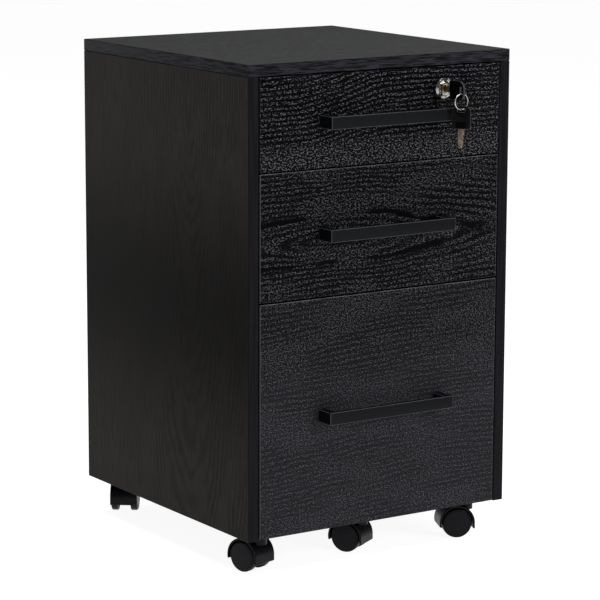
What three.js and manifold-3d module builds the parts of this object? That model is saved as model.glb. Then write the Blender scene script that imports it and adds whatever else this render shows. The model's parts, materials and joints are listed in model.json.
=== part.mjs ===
// Rolling pedestal cabinet: a 400 mm wide board carcass on casters, with three drawers on side slides.
// Frame: millimetres, X to the right seen from the front, -Y towards the user, Z up.
// The shapes are laid out round a point on the floor under the middle of the carcass; the part's
// origin is on the floor under the middle of the whole outline, keys and casters included.

import * as THREE from "three";
import { mergeVertices } from "three/addons/utils/BufferGeometryUtils.js";
import Module from "manifold-3d";

const wasm = await Module();
wasm.setup();

// ---------------------------------------------------------------- driving dimensions

const BODY_WIDTH = 400;
const BODY_DEPTH = 410;
const BODY_HEIGHT = 600;
const CASTER_HEIGHT = 50;
const BOARD = 15; // carcass boards and drawer fronts
const FIT = 0.3; // gap left between pieces that touch
const REVEAL = 2; // visible gap round each drawer front
const KEY_REACH = 45; // from the drawer faces to the outer end of the key in the lock

const BACK_BOARD = 5;
const BACK_INSET = 8; // the back board's outer face, in from the rear edges
const BACK_GROOVE = 7; // depth of the grooves that hold the back board

// Drawer fronts from the bottom up; the box stands on its slides behind the front.
const DRAWERS = [
  { name: "file", frontHeight: 300, boxBottom: 21, boxHeight: 250, slideHeight: 38 },
  { name: "middle", frontHeight: 161, boxBottom: 10, boxHeight: 110, slideHeight: 46 },
  { name: "top", frontHeight: 117, boxBottom: 10, boxHeight: 76, slideHeight: 38 },
];
const LOWEST_FRONT = 1; // the lowest front's edge, above the carcass's lower edge
const BOX_BOARD = 12;
const BOX_LENGTH = 350;
const BOX_BOTTOM_BOARD = 4;
const BOX_GROOVE = 6; // depth of the grooves that hold a box's bottom
const BOX_GROOVE_HEIGHT = 7; // groove's lower edge above the box's lower edge

const SLIDE_SPACE = 12.7; // room between a side panel and a drawer box
const SLIDE_LENGTH = 350;
const SLIDE_HEIGHT = 35;
const SLIDE_SHEET = 1.5;
const SLIDE_DRAWER_HEIGHT = 24;

const HANDLE_LENGTH = 191;
const HANDLE_REACH = 28;
const HANDLE_HEIGHT = 16;
const HANDLE_BAR = 7; // thickness of the front bar
const HANDLE_LEG = 12; // width of each leg

const WHEEL_RADIUS = 20;
const WHEEL_WIDTH = 10;
const WHEEL_INNER_FACE = 8.8; // from the caster's middle plane
const WHEEL_SIDES = 24;
const HOOD_OUTER = 24;
const HOOD_INNER = 21.4;
const HOOD_WIDTH = 37;
const CASTER_TRAIL = 14; // from the stem's axis to the axle
const NECK_RADIUS = 10;
const STEM_RADIUS = 4;
const STEM_LENGTH = 12; // above the caster's top
const AXLE_RADIUS = 2.2;
const STEM_FROM_SIDE = 37;
const STEM_FROM_FACE = 33;
const DRAWER_STEM_FROM_FACE = 43;

const LOCK_X = 94;
const LOCK_BELOW_TOP = 45; // from the cabinet's top face to the lock's axis
const LOCK_BARREL = 8.5;
const PLUG_RADIUS = 5.5;
const PLUG_FACE = -4.5; // along Y from the drawer's face
const PLUG_END = 21.3;
const CAM_REACH = 36;
const CAM_SHEET = 2;

const KEY_BOW_LENGTH = 30;
const KEY_BOW_WIDTH = 24;
const KEY_BOW_THICKNESS = 3;
const KEY_BLADE_LENGTH = 24;
const KEY_BLADE_WIDTH = 7.8;
const KEY_BLADE_THICKNESS = 1.8;
const KEY_SLOT_FROM_END = 6;
const KEY_SLOT_LENGTH = 10;
const KEY_SLOT_WIDTH = 4.5;
const RING_RADIUS = 10;
const RING_WIRE = 0.7;

// ---------------------------------------------------------------- derived places

const FRONT_Y = -BODY_DEPTH / 2;
const BACK_Y = BODY_DEPTH / 2;
const BODY_Z = CASTER_HEIGHT;
const TOP_Z = BODY_Z + BODY_HEIGHT;
const INNER_X = BODY_WIDTH / 2 - BOARD;
const INNER_TOP_Z = TOP_Z - BOARD;
const BACK_BOARD_Y = BACK_Y - BACK_INSET - BACK_BOARD;
const BOX_Y = FRONT_Y + BOARD + FIT;
const BOX_OUTER_X = INNER_X - SLIDE_SPACE;
const BOX_INNER_X = BOX_OUTER_X - BOX_BOARD;
const STEM_X = BODY_WIDTH / 2 - STEM_FROM_SIDE;
const LOCK_Z = TOP_Z - LOCK_BELOW_TOP;
const CAM_Y = PLUG_END + FIT;

// Each caster: its stem's place, and the way its wheels trail, as an angle from +X.
const CASTERS = [
  { name: "front_left", x: -STEM_X, y: FRONT_Y + STEM_FROM_FACE, trailDegrees: 107 },
  { name: "front_right", x: STEM_X, y: FRONT_Y + STEM_FROM_FACE, trailDegrees: 156 },
  { name: "back_left", x: -STEM_X, y: BACK_Y - STEM_FROM_FACE, trailDegrees: 53 },
  { name: "back_right", x: STEM_X, y: BACK_Y - STEM_FROM_FACE, trailDegrees: 75 },
];
const DRAWER_CASTER = {
  name: "drawer",
  x: 0,
  y: FRONT_Y + DRAWER_STEM_FROM_FACE,
  trailDegrees: 120,
};
const BLOCK_WIDTH = 56;
const BLOCK_DEPTH = 50;
const NOTCH_CLEARANCE = 3; // round the caster block, in the bottom panel

// ---------------------------------------------------------------- materials

const finish = (color, roughness, metalness) =>
  new THREE.MeshStandardMaterial({ color, roughness, metalness });
const LAMINATE = finish(0x1b1b1d, 0.55, 0);
const BOX_LAMINATE = finish(0x26262a, 0.7, 0);
const BACK_FINISH = finish(0x1e1e20, 0.75, 0);
const STEEL = finish(0x9a9ca0, 0.35, 0.9);
const BLACK_METAL = finish(0x1c1e22, 0.4, 0.6);
const NYLON = finish(0x17171b, 0.5, 0);
const CHROME = finish(0xd8d8d8, 0.12, 1);
const KEY_PLASTIC = finish(0x101012, 0.45, 0);

// ---------------------------------------------------------------- shape helpers

function toSolid(geometry) {
  const bare = geometry.index ? geometry.toNonIndexed() : geometry.clone();
  bare.deleteAttribute("normal");
  bare.deleteAttribute("uv");
  const merged = mergeVertices(bare, 1e-4);
  return new wasm.Manifold(
    new wasm.Mesh({
      numProp: 3,
      vertProperties: merged.attributes.position.array,
      triVerts: new Uint32Array(merged.index.array),
    }),
  );
}

function toGeometry(solid) {
  const mesh = solid.getMesh();
  const geometry = new THREE.BufferGeometry();
  geometry.setAttribute("position", new THREE.BufferAttribute(mesh.vertProperties, 3));
  geometry.setIndex(new THREE.BufferAttribute(mesh.triVerts, 1));
  geometry.computeVertexNormals();
  return geometry;
}

function cut(base, ...tools) {
  return toGeometry(tools.reduce((solid, tool) => solid.subtract(toSolid(tool)), toSolid(base)));
}

function join(base, ...others) {
  return toGeometry(others.reduce((solid, other) => solid.add(toSolid(other)), toSolid(base)));
}

// A box between two corners.
function block(x0, x1, y0, y1, z0, z1) {
  const box = new THREE.BoxGeometry(x1 - x0, y1 - y0, z1 - z0);
  return box.translate((x0 + x1) / 2, (y0 + y1) / 2, (z0 + z1) / 2);
}

// A flat outline, given as [x, z] points or as a Shape, made into a bar from y0 to y1.
function alongY(outline, y0, y1, curveSegments = 12) {
  const shape = Array.isArray(outline) ? outlineOf(outline) : outline;
  const bar = new THREE.ExtrudeGeometry(shape, {
    depth: y1 - y0,
    bevelEnabled: false,
    curveSegments,
  });
  return bar.rotateX(Math.PI / 2).translate(0, y1, 0);
}

// A flat outline of [x, y] points, made into a bar from z0 to z1.
function alongZ(points, z0, z1) {
  const bar = new THREE.ExtrudeGeometry(outlineOf(points), {
    depth: z1 - z0,
    bevelEnabled: false,
  });
  return bar.translate(0, 0, z0);
}

function outlineOf(points) {
  return new THREE.Shape(points.map(([x, y]) => new THREE.Vector2(x, y)));
}

// A solid of revolution about the Y axis, from [radius, y] points.
function turned(points, sides, firstAngle = 0) {
  const profile = points.map(([radius, y]) => new THREE.Vector2(radius, y));
  return new THREE.LatheGeometry(profile, sides, firstAngle);
}

function rod(radius, y0, y1, sides) {
  return turned([[0, y0], [radius, y0], [radius, y1], [0, y1]], sides);
}

// The same rod, standing on Z at a place in plan.
function post(radius, x, y, z0, z1, sides) {
  return rod(radius, z0, z1, sides).rotateX(Math.PI / 2).translate(x, y, 0);
}

function addMesh(group, name, geometry, material) {
  const mesh = new THREE.Mesh(geometry, material);
  mesh.name = name;
  group.add(mesh);
  return mesh;
}

// ---------------------------------------------------------------- carcass

// The slot in the top panel's underside is where the lock's cam turns up into.
function topPanel() {
  const board = block(-BODY_WIDTH / 2, BODY_WIDTH / 2, FRONT_Y, BACK_Y, INNER_TOP_Z, TOP_Z);
  const backGroove = block(
    -INNER_X - BACK_GROOVE,
    INNER_X + BACK_GROOVE,
    BACK_BOARD_Y - FIT,
    BACK_BOARD_Y + BACK_BOARD + FIT,
    INNER_TOP_Z - 1,
    INNER_TOP_Z + BACK_GROOVE,
  );
  const camSlot = block(
    LOCK_X - 30,
    LOCK_X + 9,
    FRONT_Y + CAM_Y - 2,
    FRONT_Y + CAM_Y + CAM_SHEET + 2,
    INNER_TOP_Z - 1,
    INNER_TOP_Z + 9,
  );
  return cut(board, backGroove, camSlot);
}

// A side panel is its plan outline, groove for the back board included, raised to full height.
function sidePanel(side) {
  const outer = (side * BODY_WIDTH) / 2;
  const inner = side * INNER_X;
  const groove = side * (INNER_X + BACK_GROOVE);
  const outline = [
    [outer, FRONT_Y],
    [inner, FRONT_Y],
    [inner, BACK_BOARD_Y - FIT],
    [groove, BACK_BOARD_Y - FIT],
    [groove, BACK_BOARD_Y + BACK_BOARD + FIT],
    [inner, BACK_BOARD_Y + BACK_BOARD + FIT],
    [inner, BACK_Y],
    [outer, BACK_Y],
  ];
  return alongZ(outline, BODY_Z, INNER_TOP_Z - FIT);
}

function backPanel() {
  const halfWidth = INNER_X + BACK_GROOVE - FIT;
  return block(
    -halfWidth,
    halfWidth,
    BACK_BOARD_Y,
    BACK_BOARD_Y + BACK_BOARD,
    BODY_Z,
    INNER_TOP_Z + BACK_GROOVE - FIT,
  );
}

// The bottom panel holds the four corner stems, and clears the file drawer's caster block.
function bottomPanel() {
  const frontEdge = FRONT_Y + BOARD + 1;
  const board = block(
    -INNER_X + FIT,
    INNER_X - FIT,
    frontEdge,
    BACK_BOARD_Y - FIT,
    BODY_Z,
    BODY_Z + BOARD,
  );
  const notch = block(
    -BLOCK_WIDTH / 2 - NOTCH_CLEARANCE,
    BLOCK_WIDTH / 2 + NOTCH_CLEARANCE,
    frontEdge - 1,
    BOX_Y + BLOCK_DEPTH + NOTCH_CLEARANCE,
    BODY_Z - 1,
    BODY_Z + BOARD + 1,
  );
  const stemHoles = CASTERS.map(({ x, y }) =>
    post(STEM_RADIUS + FIT, x, y, BODY_Z - 1, BODY_Z + BOARD + 1, 16),
  );
  return cut(board, notch, ...stemHoles);
}

// ---------------------------------------------------------------- drawer slides

// The fixed member is a lipped channel, open towards the drawer; x is measured from the panel.
function cabinetSlide(side, centreZ) {
  const at = (x) => side * (INNER_X - x);
  const half = SLIDE_HEIGHT / 2;
  const mouth = SLIDE_SPACE - SLIDE_SHEET - 2 * FIT;
  const lip = half - SLIDE_SHEET - 2.2;
  const outline = [
    [at(FIT), -half],
    [at(mouth), -half],
    [at(mouth), -lip],
    [at(mouth - SLIDE_SHEET), -lip],
    [at(mouth - SLIDE_SHEET), -half + SLIDE_SHEET],
    [at(FIT + SLIDE_SHEET), -half + SLIDE_SHEET],
    [at(FIT + SLIDE_SHEET), half - SLIDE_SHEET],
    [at(mouth - SLIDE_SHEET), half - SLIDE_SHEET],
    [at(mouth - SLIDE_SHEET), lip],
    [at(mouth), lip],
    [at(mouth), half],
    [at(FIT), half],
  ];
  return slideBar(outline, centreZ);
}

// The moving member is a plain channel on the drawer box, nested in the fixed one.
function drawerSlide(side, centreZ) {
  const at = (x) => side * (INNER_X - x);
  const half = SLIDE_DRAWER_HEIGHT / 2;
  const web = SLIDE_SPACE - FIT;
  const flange = FIT + SLIDE_SHEET + 1.4;
  const outline = [
    [at(web), -half],
    [at(web), half],
    [at(flange), half],
    [at(flange), half - SLIDE_SHEET],
    [at(web - SLIDE_SHEET), half - SLIDE_SHEET],
    [at(web - SLIDE_SHEET), -half + SLIDE_SHEET],
    [at(flange), -half + SLIDE_SHEET],
    [at(flange), -half],
  ];
  return slideBar(outline, centreZ);
}

function slideBar(outline, centreZ) {
  return alongY(outline, BOX_Y + 1, BOX_Y + 1 + SLIDE_LENGTH).translate(0, 0, centreZ);
}

// ---------------------------------------------------------------- drawers

function drawerFront(drawer) {
  const halfWidth = INNER_X - REVEAL;
  const board = block(-halfWidth, halfWidth, FRONT_Y, FRONT_Y + BOARD, drawer.z, drawer.top);
  if (drawer.name !== "top") return board;
  const lockHole = rod(LOCK_BARREL + FIT, -1, BOARD + 1, 24).translate(LOCK_X, FRONT_Y, LOCK_Z);
  return cut(board, lockHole);
}

// A box side carries a groove along its inner face for the bottom board.
function boxSide(side, z0, z1) {
  const outer = side * BOX_OUTER_X;
  const inner = side * BOX_INNER_X;
  const groove = side * (BOX_INNER_X + BOX_GROOVE);
  const grooveZ = z0 + BOX_GROOVE_HEIGHT;
  const grooveTop = grooveZ + BOX_BOTTOM_BOARD + 2 * FIT;
  const outline = [
    [outer, z0],
    [inner, z0],
    [inner, grooveZ],
    [groove, grooveZ],
    [groove, grooveTop],
    [inner, grooveTop],
    [inner, z1],
    [outer, z1],
  ];
  return alongY(outline, BOX_Y, BOX_Y + BOX_LENGTH);
}

function boxBottom(z0) {
  const halfWidth = BOX_INNER_X + BOX_GROOVE - FIT;
  const bottomZ = z0 + BOX_GROOVE_HEIGHT + FIT;
  const backFace = BOX_Y + BOX_LENGTH - BOX_BOARD - FIT;
  return block(-halfWidth, halfWidth, BOX_Y, backFace, bottomZ, bottomZ + BOX_BOTTOM_BOARD);
}

function boxBack(z0, z1) {
  const halfWidth = BOX_INNER_X - FIT;
  const backY = BOX_Y + BOX_LENGTH;
  return block(-halfWidth, halfWidth, backY - BOX_BOARD, backY, z0, z1);
}

// A bar pull: a flat front bar on two legs, one U in plan.
function handle(centreZ) {
  const half = HANDLE_LENGTH / 2;
  const legInner = half - HANDLE_LEG;
  const outline = [
    [-half, -FIT],
    [-half, -HANDLE_REACH],
    [half, -HANDLE_REACH],
    [half, -FIT],
    [legInner, -FIT],
    [legInner, HANDLE_BAR - HANDLE_REACH],
    [-legInner, HANDLE_BAR - HANDLE_REACH],
    [-legInner, -FIT],
  ];
  const bar = alongZ(outline, centreZ - HANDLE_HEIGHT / 2, centreZ + HANDLE_HEIGHT / 2);
  return bar.translate(0, FRONT_Y, 0);
}

// A clip rail for hanging files: a channel over the box side's top edge, with a fin on top.
function fileRail(side, topZ) {
  const sheet = 1.2;
  const centre = side * (BOX_INNER_X + BOX_BOARD / 2);
  const inner = BOX_BOARD / 2 + FIT;
  const outer = inner + sheet;
  const fin = 11;
  const outline = [
    [-outer, -10],
    [-inner, -10],
    [-inner, FIT],
    [inner, FIT],
    [inner, -10],
    [outer, -10],
    [outer, FIT + sheet],
    [sheet / 2, FIT + sheet],
    [sheet / 2, fin],
    [-sheet / 2, fin],
    [-sheet / 2, FIT + sheet],
    [-outer, FIT + sheet],
  ];
  const endGap = BOX_BOARD + 1;
  return alongY(outline, BOX_Y + 1, BOX_Y + BOX_LENGTH - endGap).translate(centre, 0, topZ);
}

// The block under the file drawer that takes the fifth caster's stem.
function casterBlock(boxZ) {
  const body = block(
    -BLOCK_WIDTH / 2,
    BLOCK_WIDTH / 2,
    BOX_Y,
    BOX_Y + BLOCK_DEPTH,
    BODY_Z,
    boxZ + BOX_GROOVE_HEIGHT,
  );
  const { x, y } = DRAWER_CASTER;
  return cut(body, post(STEM_RADIUS + FIT, x, y, BODY_Z - 1, BODY_Z + STEM_LENGTH + 2, 16));
}

function addDrawer(parent, drawer) {
  const group = new THREE.Group();
  const boxZ = drawer.z + drawer.boxBottom;
  const boxTop = boxZ + drawer.boxHeight;
  const name = drawer.name;
  addMesh(group, `${name}_drawer_front`, drawerFront(drawer), LAMINATE);
  addMesh(group, `${name}_drawer_back`, boxBack(boxZ, boxTop), BOX_LAMINATE);
  addMesh(group, `${name}_drawer_bottom`, boxBottom(boxZ), BOX_LAMINATE);
  addMesh(group, `${name}_drawer_handle`, handle((drawer.z + drawer.top) / 2), BLACK_METAL);
  for (const [sideName, side] of SIDES) {
    addMesh(group, `${name}_drawer_${sideName}_side`, boxSide(side, boxZ, boxTop), BOX_LAMINATE);
    const slideZ = drawer.z + drawer.slideHeight;
    addMesh(group, `${name}_drawer_slide_${sideName}`, drawerSlide(side, slideZ), STEEL);
    addMesh(parent, `${name}_cabinet_slide_${sideName}`, cabinetSlide(side, slideZ), STEEL);
  }
  if (name === "file") {
    addMesh(group, "drawer_caster_block", casterBlock(boxZ), BOX_LAMINATE);
    for (const [sideName, side] of SIDES) {
      addMesh(group, `file_rail_${sideName}`, fileRail(side, boxTop), STEEL);
    }
  }
  parent.add(group);
}

// ---------------------------------------------------------------- casters

// The arched sheet over both wheels: round over the top, straight down on the stem's side.
function hoodArch() {
  const tip = -Math.asin(5.5 / HOOD_OUTER);
  const skirt = -8;
  const shape = new THREE.Shape();
  shape.absarc(0, 0, HOOD_OUTER, tip, Math.PI, false);
  shape.lineTo(-HOOD_OUTER, skirt);
  shape.lineTo(-HOOD_INNER, skirt);
  shape.absarc(0, 0, HOOD_INNER, Math.PI, tip, true);
  return alongY(shape, -HOOD_WIDTH / 2, HOOD_WIDTH / 2, 16);
}

// The middle web between the wheels, from the arch down round the axle.
function hoodWeb() {
  const reach = (HOOD_INNER + HOOD_OUTER) / 2;
  const halfWidth = WHEEL_INNER_FACE - 0.8;
  const shape = new THREE.Shape();
  shape.absarc(0, 0, reach, 0, Math.PI, false);
  shape.lineTo(-5, -5);
  shape.lineTo(5, -5);
  return alongY(shape, -halfWidth, halfWidth, 12);
}

// Local frame: the axle is the Y axis at the origin, and the stem stands at x = -CASTER_TRAIL.
function casterFrame() {
  const topZ = CASTER_HEIGHT - FIT - WHEEL_RADIUS;
  const neck = post(NECK_RADIUS, -CASTER_TRAIL, 0, 0, topZ, 20);
  const stem = post(STEM_RADIUS, -CASTER_TRAIL, 0, topZ - 1, topZ + STEM_LENGTH, 16);
  const wheelRoom = rod(HOOD_INNER, -HOOD_WIDTH, HOOD_WIDTH, 32);
  const neckAboveWheels = cut(neck, wheelRoom);
  const axleEnd = WHEEL_INNER_FACE + 6.5;
  const axle = rod(AXLE_RADIUS, -axleEnd, axleEnd, 12);
  return join(hoodArch(), hoodWeb(), neckAboveWheels, stem, axle);
}

// A nylon wheel with a closed, slightly domed outer face and a blind bore for the axle.
function casterWheel() {
  const tread = WHEEL_RADIUS / Math.cos(Math.PI / WHEEL_SIDES);
  const profile = [
    [0, 7],
    [AXLE_RADIUS + 0.4, 7],
    [AXLE_RADIUS + 0.4, 0],
    [tread, 0],
    [tread, WHEEL_WIDTH - 2.5],
    [tread - 2.5, WHEEL_WIDTH - 0.8],
    [0, WHEEL_WIDTH],
  ];
  return turned(profile, WHEEL_SIDES, Math.PI / WHEEL_SIDES);
}

function addCaster(parent, caster) {
  const group = new THREE.Group();
  const turn = THREE.MathUtils.degToRad(caster.trailDegrees);
  const trail = new THREE.Vector3(CASTER_TRAIL, 0, 0);
  trail.applyAxisAngle(new THREE.Vector3(0, 0, 1), turn);
  group.position.set(caster.x + trail.x, caster.y + trail.y, WHEEL_RADIUS);
  group.rotation.z = turn;
  addMesh(group, `${caster.name}_caster_frame`, casterFrame(), NYLON);
  const near = addMesh(group, `${caster.name}_wheel_1`, casterWheel(), NYLON);
  near.position.y = WHEEL_INNER_FACE;
  const far = addMesh(group, `${caster.name}_wheel_2`, casterWheel(), NYLON);
  far.position.y = -WHEEL_INNER_FACE;
  far.rotation.z = Math.PI;
  parent.add(group);
}

// ---------------------------------------------------------------- lock and keys

// Local frame: Y is the lock's axis, with 0 on the drawer's face; X right, Z up.
function lockHousing() {
  const bore = PLUG_RADIUS + FIT;
  const profile = [
    [bore, PLUG_FACE - 0.5],
    [9, PLUG_FACE - 0.5],
    [10, -2.8],
    [13.3, -2],
    [13.3, -FIT],
    [LOCK_BARREL, -FIT],
    [LOCK_BARREL, PLUG_END - FIT],
    [bore, PLUG_END - FIT],
    [bore, PLUG_FACE - 0.5],
  ];
  return turned(profile, 32);
}

function lockNut() {
  const sides = 6;
  const radius = 12.7;
  const shape = outlineOf(
    Array.from({ length: sides }, (_, i) => {
      const angle = (i * 2 * Math.PI) / sides;
      return [radius * Math.cos(angle), radius * Math.sin(angle)];
    }),
  );
  const hole = new THREE.Path();
  hole.absarc(0, 0, LOCK_BARREL + FIT, 0, 2 * Math.PI, true);
  shape.holes.push(hole);
  return alongY(shape, BOARD + FIT, BOARD + 4, 12);
}

// The plug is a short shaft with a keyway in its face and a tail for the cam.
function lockPlug() {
  const tail = 3;
  const shaft = turned(
    [
      [0, PLUG_FACE],
      [PLUG_RADIUS, PLUG_FACE],
      [PLUG_RADIUS, PLUG_END],
      [tail, PLUG_END],
      [tail, PLUG_END + 4],
      [0, PLUG_END + 4],
    ],
    24,
  );
  const clearance = 0.4;
  const keyway = block(
    -KEY_BLADE_THICKNESS / 2 - clearance,
    KEY_BLADE_THICKNESS / 2 + clearance,
    PLUG_FACE - 1,
    KEY_BLADE_LENGTH + KEY_BOW_LENGTH - KEY_REACH + 1,
    -KEY_BLADE_WIDTH / 2 - clearance,
    KEY_BLADE_WIDTH / 2 + clearance,
  );
  return cut(shaft, keyway);
}

// Unlocked, the cam lies sideways; a quarter turn lifts its tip into the top panel's slot.
function lockCam() {
  const hub = 8;
  const tip = 5;
  const shape = new THREE.Shape();
  shape.absarc(0, 0, hub, -Math.PI / 2, Math.PI / 2, false);
  shape.absarc(tip - CAM_REACH, 0, tip, Math.PI / 2, (3 * Math.PI) / 2, false);
  const hole = new THREE.Path();
  hole.absarc(0, 0, 3 + FIT, 0, 2 * Math.PI, true);
  shape.holes.push(hole);
  return alongY(shape, CAM_Y, CAM_Y + CAM_SHEET, 10);
}

// A key lies flat in XY: its bow's outer end at y = 0, its blade's tip at the far end of +Y.
function keySolid() {
  const half = KEY_BOW_WIDTH / 2;
  const corner = 9;
  const lowCorner = 3;
  const bow = new THREE.Shape();
  bow.absarc(corner - half, corner, corner, Math.PI, 1.5 * Math.PI, false);
  bow.absarc(half - corner, corner, corner, 1.5 * Math.PI, 2 * Math.PI, false);
  bow.absarc(half - lowCorner, KEY_BOW_LENGTH - lowCorner, lowCorner, 0, 0.5 * Math.PI, false);
  bow.absarc(lowCorner - half, KEY_BOW_LENGTH - lowCorner, lowCorner, 0.5 * Math.PI, Math.PI, false);
  const slot = new THREE.Path();
  const slotEnd = (KEY_SLOT_LENGTH - KEY_SLOT_WIDTH) / 2;
  const slotRadius = KEY_SLOT_WIDTH / 2;
  slot.absarc(slotEnd, KEY_SLOT_FROM_END, slotRadius, -Math.PI / 2, Math.PI / 2, false);
  slot.absarc(-slotEnd, KEY_SLOT_FROM_END, slotRadius, Math.PI / 2, 1.5 * Math.PI, false);
  bow.holes.push(slot);
  return join(slab(bow, KEY_BOW_THICKNESS), slab(keyBlade(), KEY_BLADE_THICKNESS));
}

// The blade: full width at the shoulder, then three cuts along one edge and a round tip.
function keyBlade() {
  const half = KEY_BLADE_WIDTH / 2;
  const start = KEY_BOW_LENGTH - 2;
  const end = KEY_BOW_LENGTH + KEY_BLADE_LENGTH;
  const tip = 2.2;
  const blade = new THREE.Shape();
  blade.moveTo(-half, start);
  blade.lineTo(half, start);
  blade.lineTo(half, KEY_BOW_LENGTH + 6);
  for (const [along, depth] of [[8, 1.6], [10.5, 0.6], [13, 1.9], [15.5, 0.7], [18, 1.4]]) {
    blade.lineTo(half - depth, KEY_BOW_LENGTH + along);
  }
  blade.absarc(0, end - tip, tip, 0, Math.PI, false);
  blade.lineTo(-half, end - tip - 3);
  return blade;
}

function slab(shape, thickness) {
  const sheet = new THREE.ExtrudeGeometry(shape, {
    depth: thickness,
    bevelEnabled: false,
    curveSegments: 6,
  });
  return sheet.translate(0, 0, -thickness / 2);
}

function addLock(parent) {
  const lock = new THREE.Group();
  lock.position.set(LOCK_X, FRONT_Y, LOCK_Z);
  addMesh(lock, "lock_housing", lockHousing(), CHROME);
  addMesh(lock, "lock_nut", lockNut(), STEEL);
  addMesh(lock, "lock_plug", lockPlug(), CHROME);
  addMesh(lock, "lock_cam", lockCam(), STEEL);

  // The key stands in the plug with its bow upright: its length runs along Y, its width along Z.
  const key = addMesh(lock, "key", keySolid(), KEY_PLASTIC);
  key.position.y = -KEY_REACH;
  key.rotation.y = -Math.PI / 2;

  // The ring hangs in the lower end of the bow's slot.
  const slotY = KEY_SLOT_FROM_END - KEY_REACH;
  const ringZ = -KEY_SLOT_LENGTH / 2 + RING_WIRE + 0.5 - RING_RADIUS;
  const torus = new THREE.TorusGeometry(RING_RADIUS, RING_WIRE, 8, 28).rotateX(Math.PI / 2);
  const ring = addMesh(lock, "key_ring", torus, CHROME);
  ring.position.set(0, slotY, ringZ);

  // The spare key hangs from the ring's lowest point, turned out of the drawer's plane.
  const spare = addMesh(lock, "spare_key", keySolid(), KEY_PLASTIC);
  const slotTop = KEY_SLOT_FROM_END - KEY_SLOT_WIDTH / 2;
  const ringLow = ringZ - RING_RADIUS + RING_WIRE;
  spare.position.set(0, slotY, ringLow + 0.8 + slotTop);
  spare.rotation.order = "ZYX";
  spare.rotation.set(-Math.PI / 2, 0, THREE.MathUtils.degToRad(-37));
  parent.add(lock);
}

// ---------------------------------------------------------------- assembly

const SIDES = [
  ["left", -1],
  ["right", 1],
];
const pedestal = new THREE.Group();
pedestal.name = "rolling_pedestal_cabinet";

addMesh(pedestal, "top_panel", topPanel(), LAMINATE);
addMesh(pedestal, "bottom_panel", bottomPanel(), LAMINATE);
addMesh(pedestal, "back_panel", backPanel(), BACK_FINISH);
for (const [sideName, side] of SIDES) {
  addMesh(pedestal, `${sideName}_side_panel`, sidePanel(side), LAMINATE);
}

let frontZ = BODY_Z + LOWEST_FRONT;
for (const drawer of DRAWERS) {
  addDrawer(pedestal, { ...drawer, z: frontZ, top: frontZ + drawer.frontHeight });
  frontZ += drawer.frontHeight + REVEAL;
}

for (const caster of [...CASTERS, DRAWER_CASTER]) addCaster(pedestal, caster);
addLock(pedestal);

// The keys reach out in front and a caster behind, so the whole is centred last.
const wholeOutline = new THREE.Box3().setFromObject(pedestal, true);
pedestal.position.y = -(wholeOutline.min.y + wholeOutline.max.y) / 2;

export default pedestal;
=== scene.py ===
"""Looks of the rolling pedestal cabinet: black oak-grain boards, bar handles, lock and twin-wheel casters.

Every piece is made in the frame's own coordinates, in metres, and rides on the body that carries it.
Local helper shapes of casters, lock and keys are written in millimetres and placed by a matrix.
"""

import json
import math
from itertools import product

import bmesh
import bpy
from mathutils import Matrix, Vector


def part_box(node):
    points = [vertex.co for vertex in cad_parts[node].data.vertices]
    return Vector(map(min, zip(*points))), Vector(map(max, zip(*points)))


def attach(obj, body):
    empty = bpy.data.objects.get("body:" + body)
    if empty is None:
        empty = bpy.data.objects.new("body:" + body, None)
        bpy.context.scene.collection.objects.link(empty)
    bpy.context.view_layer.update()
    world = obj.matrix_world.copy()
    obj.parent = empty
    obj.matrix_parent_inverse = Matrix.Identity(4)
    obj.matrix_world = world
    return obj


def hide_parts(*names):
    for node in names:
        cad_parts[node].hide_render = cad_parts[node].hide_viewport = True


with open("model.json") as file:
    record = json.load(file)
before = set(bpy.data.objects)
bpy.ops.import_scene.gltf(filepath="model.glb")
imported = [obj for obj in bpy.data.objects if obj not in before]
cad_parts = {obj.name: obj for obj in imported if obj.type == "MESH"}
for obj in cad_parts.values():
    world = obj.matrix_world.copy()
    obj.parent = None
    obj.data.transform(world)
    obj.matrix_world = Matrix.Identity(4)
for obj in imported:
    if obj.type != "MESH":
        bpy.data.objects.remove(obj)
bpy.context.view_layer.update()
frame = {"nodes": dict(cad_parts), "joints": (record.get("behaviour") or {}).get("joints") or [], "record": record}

MM = 0.001
JOINTS = {joint["name"]: joint for joint in frame["joints"]}
NODE_BODY = {
    node: body
    for body, members in frame["record"]["behaviour"]["bodies"].items()
    for node in members
}
DRAWERS = ("top", "middle", "file")
SIDES = ("left", "right")
CASTERS = ("front_left", "front_right", "back_left", "back_right", "drawer")

FACE_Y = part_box("top_drawer_front")[0].y
FRONT_INNER_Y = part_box("top_drawer_front")[1].y


# ---------------------------------------------------------------- materials

ROW_PITCH = 6.5  # between two rows of pores, in millimetres


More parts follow.
